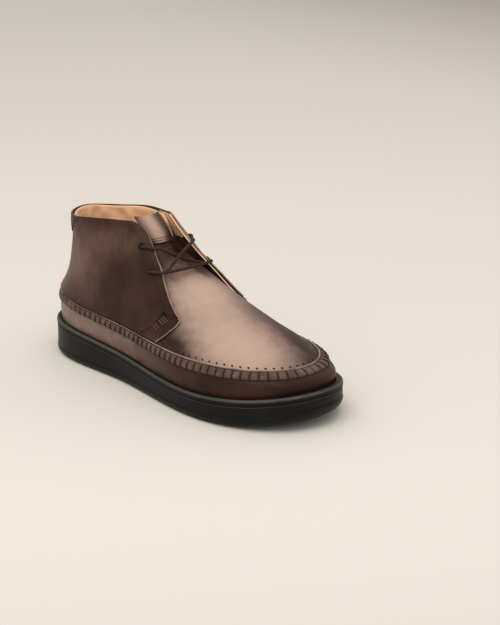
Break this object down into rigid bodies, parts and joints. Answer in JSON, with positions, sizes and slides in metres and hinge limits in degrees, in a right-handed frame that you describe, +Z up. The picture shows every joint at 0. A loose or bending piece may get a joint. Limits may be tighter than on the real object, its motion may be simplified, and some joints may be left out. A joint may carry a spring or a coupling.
{
  "type": "chukka boot",
  "caption": "Low lace-up ankle boot with a stitched apron toe, open lined shaft, tongue and a flat rubber cup sole; stands empty on its sole.",
  "frame": {"origin": "middle of the boot's box seen from above, on the floor it stands on", "axes": "+X from heel to toe, +Y towards the inner side of the foot, +Z up"},
  "size_m": [0.3078, 0.1174, 0.133],
  "materials": {
    "sole_rubber": "matt moulded rubber",
    "insole_leather": "smooth tan leather",
    "upper_leather": "oiled pull-up leather",
    "quarter_leather": "oiled pull-up leather",
    "tongue_leather": "oiled pull-up leather",
    "tab_leather": "oiled pull-up leather",
    "lace_cord": "waxed round cotton"
  },
  "bodies": {
    "root": {"cupsole": "sole_rubber", "insole": "insole_leather", "upper": "upper_leather", "quarter_outer": "quarter_leather", "quarter_inner": "quarter_leather", "tongue": "tongue_leather", "pull_tab": "tab_leather", "lace": "lace_cord"}
  },
  "joints": []
}
